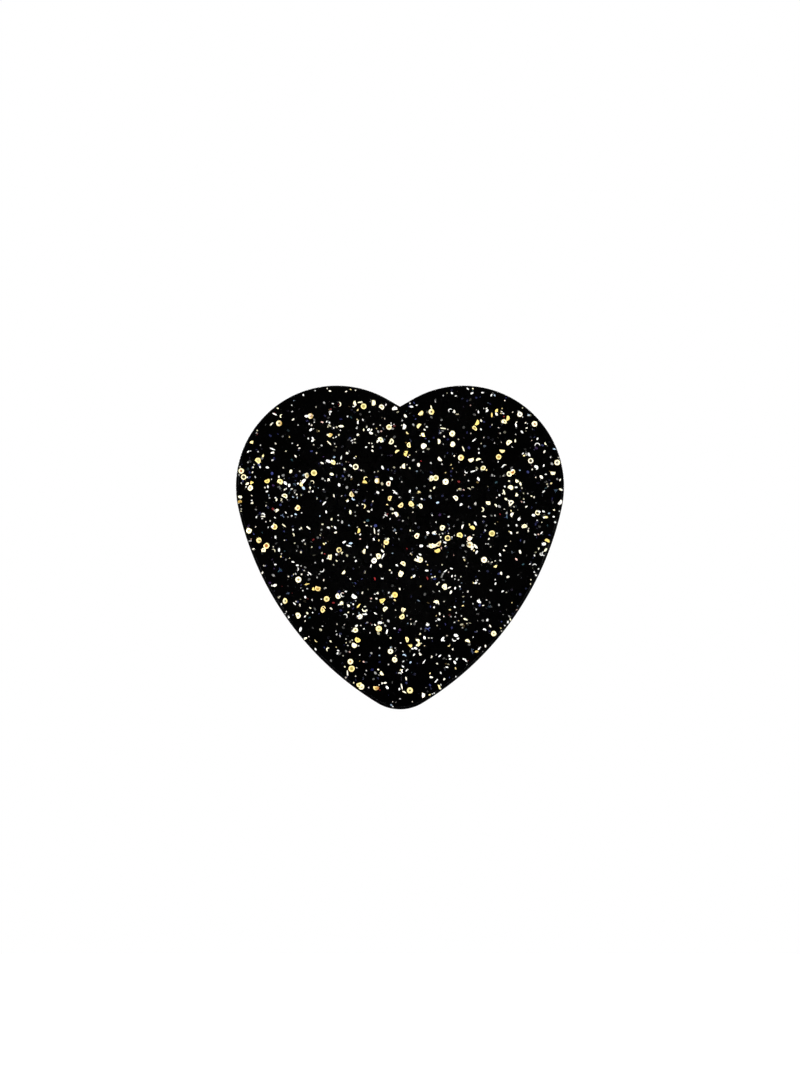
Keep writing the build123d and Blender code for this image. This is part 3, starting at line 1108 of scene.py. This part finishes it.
def wing_section(half, thickness, rib):
    """The closed outline of the wing's section, as (across, out) pairs."""
    flat = half - thickness / 2
    section = []
    for side in (1, -1):
        for i in range(WING_COLUMNS):
            across = side * flat * (1 - 2 * i / (WING_COLUMNS - 1))
            crown = rib * math.exp(-((across / RIB_WIDTH) ** 2))
            crown -= 0.5 * rib * (across / HALF_WING) ** 2
            section.append((across, side * thickness / 2 + crown))
        for i in range(1, WING_EDGE_STEPS):
            angle = math.pi * i / WING_EDGE_STEPS
            crown = -0.5 * rib * (flat / HALF_WING) ** 2
            out = side * thickness / 2 * math.cos(angle)
            across = -side * (flat + thickness / 2 * math.sin(angle))
            section.append((across, out + crown))
    return section


def make_wing(side, which, material):
    """A stamped lever with rounded edges, a stiffening rib and a notch for the post in its jaw."""
    node = f"{side}_clutch_{which}_wing"
    up = 1 if which == "upper" else -1
    axis_x = middle_of(node)[0]
    axis_z = middle_of(side + "_post")[1]
    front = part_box(side + "_clutch_cap")[0].y / MM + CAP_DIMPLE
    path, normals = filleted_path(WING_PATH, WING_BENDS, WING_SPACING)
    steps = np.linalg.norm(np.diff(path, axis=0), axis=1)
    run = np.concatenate([[0], np.cumsum(steps)])
    rings = []
    last = len(path) - 1
    stations = [(0, fullness) for fullness in WING_END]
    stations += [(i, 1) for i in range(1, last)]
    stations += [(last, fullness) for fullness in reversed(WING_END)]
    for station, (i, fullness) in enumerate(stations):
        centre, normal = path[i], normals[i]
        rise = smooth_step((centre[1] - RIB_START) / RIB_RISE)
        fall = smooth_step((run[-1] - run[i]) / RIB_FALL)
        half = wing_half_width(centre[0]) if i else HALF_NECK
        half -= (1 - fullness) * SHEET / 2
        ring = []
        for across, out in wing_section(half, SHEET * fullness, RIB_HEIGHT * rise * fall):
            spot = centre + normal * out
            if centre[1] < JAW_HEIGHT + SHEET and abs(across) < JAW_NOTCH:
                notch = math.sqrt(JAW_NOTCH**2 - across**2)
                spot[0] = max(spot[0], notch + NOTCH_SLANT * station)
            ring.append((axis_x + across, front + spot[1], axis_z + up * spot[0]))
        rings.append(ring)
    count = len(rings[0])
    vertices = [vertex for ring in rings for vertex in ring]
    faces = ring_faces(len(rings), count)
    for first in (0, (len(rings) - 1) * count):
        ring = vertices[first:first + count]
        vertices.append(tuple(sum(v[k] for v in ring) / count for k in range(3)))
        faces += fan_faces(first, count, len(vertices) - 1)
    wing = make_object(node + "_stamped", vertices, faces, material)
    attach(wing, f"{side}_{which}_wing")
    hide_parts(node)


# ------------------------------------------------------------------ stage

def area_light(name, place, size, power):
    """A soft box at a place in mm, turned towards the pin."""
    data = bpy.data.lights.new(name, "AREA")
    data.shape = "RECTANGLE"
    data.size = size[0] * MM
    data.size_y = size[1] * MM
    data.energy = power
    light = bpy.data.objects.new(name, data)
    bpy.context.scene.collection.objects.link(light)
    light.location = Vector(place) * MM
    aim = Vector() - light.location
    light.rotation_euler = aim.to_track_quat("-Z", "Y").to_euler()


def make_world():
    """White where the camera looks past the pin; dim in front of it and pale behind it."""
    world = bpy.data.worlds.new("studio")
    bpy.context.scene.world = world
    n = Nodes(world, "OutputWorld")
    way = n.add("SeparateXYZ", {0: n.add("TexCoord").outputs["Generated"]}).outputs
    behind = n.ramp(way["Y"], 0.015, 0.75, -0.1, 0.9)
    above = n.ramp(way["Z"], 0.25, 1.3, -0.7, 0.8)
    lit = n.add("Background", {"Strength": n.math("MULTIPLY", behind, above)})
    seen = n.add("Background", {"Color": (1, 1, 1, 1)})
    n.surface(n.mix_shaders(n.add("LightPath").outputs["Is Camera Ray"], lit, seen))


def make_stage():
    make_world()
    area_light("key_left", (-420, -190, 190), (400, 440), 5.5)
    area_light("fill_right", (420, -190, 190), (400, 440), 4.3)
    area_light("top_front", (0, -200, 430), (520, 320), 3.9)
    area_light("back_left", (-320, 380, 260), (240, 240), 9)
    area_light("back_right", (340, 330, 160), (200, 260), 6)
    height = CAD_BOX[0].z / MM - FLOOR_DROP
    corners = [(FLOOR_HALF * x, FLOOR_HALF * y, height) for x, y in FLOOR_CORNERS]
    floor = make_object("floor", corners, [(0, 1, 2, 3)], floor_material(), False, closed=False)
    floor.visible_glossy = False


def make_camera():
    low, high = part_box("base_plate")
    width = high.x - low.x
    data = bpy.data.cameras.new("camera")
    data.lens = LENS
    camera = bpy.data.objects.new("camera", data)
    bpy.context.scene.collection.objects.link(camera)
    frame_height = width / HEART_SHARE * FRAME_RATIO
    distance = frame_height * LENS / data.sensor_width
    camera.location = (0, low.y - distance, (low.z + high.z) / 2 + FRAME_ABOVE * width)
    camera.rotation_euler = (math.radians(90), 0, 0)
    bpy.context.scene.camera = camera
    view = bpy.context.scene.view_settings
    view.view_transform = "Standard"
    view.look = "None"


# ------------------------------------------------------------------ pieces

def dress(node, material):
    """Gives a CAD node its finish."""
    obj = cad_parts[node]
    obj.data.materials.clear()
    obj.data.materials.append(material)


def main():
    make_camera()
    make_stage()
    nickel = black_nickel_material()
    enamel = black_enamel_material()
    steel = turned_steel_material()
    solder = solder_material()
    brass = brass_material()
    spring = spring_material()
    make_plate(nickel)
    dress("enamel_fill", enamel)
    dress("glitter_layer", enamel)
    make_dome(clear_epoxy_material())
    make_glitter(flake_material())
    for side in CLUTCH_SIDES:
        make_post(side, steel)
        make_solder(side, solder)
        make_cap(side, brass)
        dress(side + "_clutch_inner_cup", brass)
        make_cup_bead(side, brass)
        for which in ("upper", "lower"):
            make_wing(side, which, brass)
        dress(side + "_clutch_jaw_spring", spring)


main()
